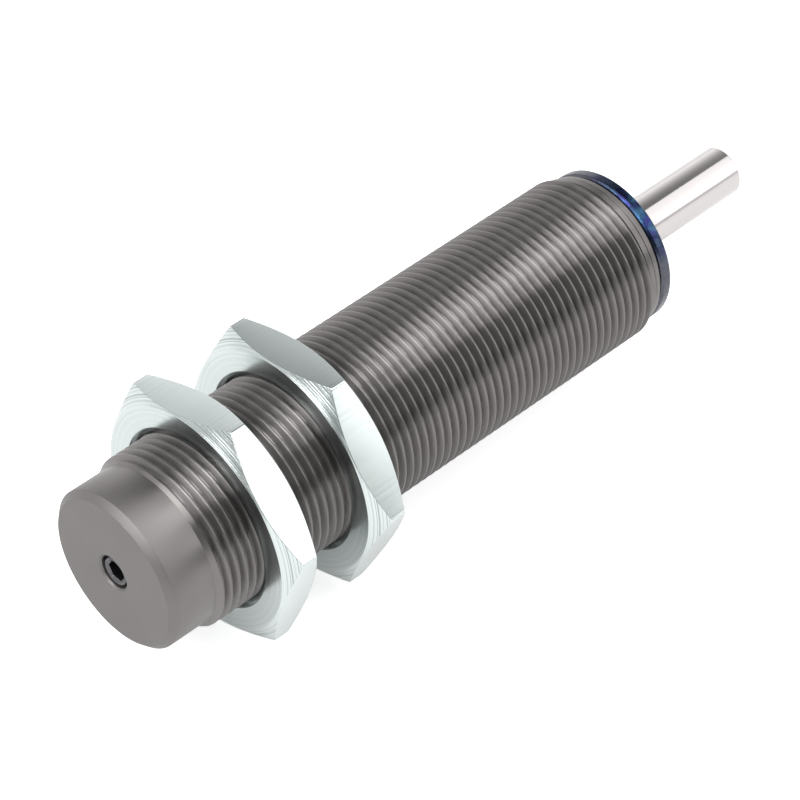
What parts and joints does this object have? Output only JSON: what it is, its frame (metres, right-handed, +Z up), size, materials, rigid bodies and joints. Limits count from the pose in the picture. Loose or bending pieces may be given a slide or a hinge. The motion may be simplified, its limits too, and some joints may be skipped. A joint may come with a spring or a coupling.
{
  "type": "industrial shock absorber",
  "caption": "Threaded cylindrical shock absorber with a sprung, oil-damped piston rod, a stop collar and thin hexagon lock nuts that clamp it in a plate.",
  "frame": {"origin": "centre of the flat tail face, on the axis of the body", "axes": "+X along the rod's axis from the tail towards the rod's tip, +Z up"},
  "size_m": [0.124, 0.0414, 0.0396],
  "materials": {
    "coated_steel": "satin dark grey coating on turned steel",
    "blued_steel": "semi-gloss blue-black heat finish",
    "black_steel": "black oxide",
    "zinc_plated_steel": "bright zinc plate with a pale blue tint",
    "hard_chrome": "ground hard chrome",
    "hardened_steel": "ground",
    "spring_steel": "drawn wire",
    "ball_steel": "polished",
    "ring_iron": "ground",
    "bronze": "machined",
    "nitrile_rubber": "moulded",
    "foam_rubber": "closed-cell foam",
    "hard_plastic": "moulded"
  },
  "bodies": {
    "body": {"outer_tube": "coated_steel", "fill_plug": "black_steel", "fill_plug_seal": "hard_plastic", "pressure_tube": "hardened_steel", "spring_seat": "hardened_steel", "return_spring": "spring_steel", "rebound_stop": "hardened_steel", "rod_bearing": "bronze", "accumulator_foam": "foam_rubber", "rod_seal": "nitrile_rubber", "seal_backup_ring": "hard_plastic", "gland_seal_ring": "nitrile_rubber", "stopper_collar": "blued_steel", "rod_scraper": "nitrile_rubber"},
    "rod": {"piston_rod": "hard_chrome", "piston_head": "hardened_steel", "piston_ring": "ring_iron", "ball_retainer": "hardened_steel", "spring_guide": "hardened_steel"},
    "valve_ball": {"check_ball": "ball_steel"},
    "rear_nut": {"rear_lock_nut": "zinc_plated_steel"},
    "front_nut": {"front_lock_nut": "zinc_plated_steel"}
  },
  "joints": [
    {"name": "rod_slide", "type": "slide", "parent": "body", "child": "rod", "axis": [-1, 0, 0], "range_m": [0, 0.025], "stiffness_N_per_m": 447, "springref_m": -0.01975, "deforming": ["return_spring"]},
    {"name": "ball_lift", "type": "slide", "parent": "rod", "child": "valve_ball", "axis": [-1, 0, 0], "range_m": [0, 0.0005]},
    {"name": "rear_nut_travel", "type": "slide", "parent": "body", "child": "rear_nut", "axis": [1, 0, 0], "range_m": [-0.0064, 0.0049]},
    {"name": "front_nut_travel", "type": "slide", "parent": "body", "child": "front_nut", "axis": [1, 0, 0], "range_m": [-0.0049, 0.056]}
  ]
}
